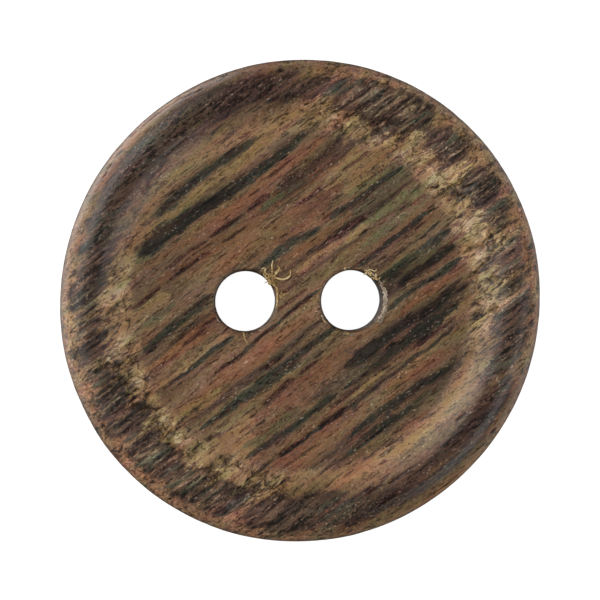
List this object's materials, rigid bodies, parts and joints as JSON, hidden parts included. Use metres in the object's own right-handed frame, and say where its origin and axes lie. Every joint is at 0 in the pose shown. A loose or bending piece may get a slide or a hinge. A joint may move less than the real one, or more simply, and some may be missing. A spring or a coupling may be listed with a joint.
{
  "type": "sew-on button",
  "caption": "Round flat wooden garment button with a raised rounded rim, a shallow dished front and two thread holes drilled through it.",
  "frame": {"origin": "middle of the flat back, where the button lies against the cloth", "axes": "+Z out of the dished front face, +X through the centres of the two thread holes, +Y across them in the plane of the button"},
  "size_m": [0.02, 0.02, 0.0032],
  "materials": {
    "wood": "turned and lightly polished, unpainted, streaky brown hardwood with open pores"
  },
  "bodies": {
    "root": {"button_disc": "wood"}
  },
  "joints": []
}
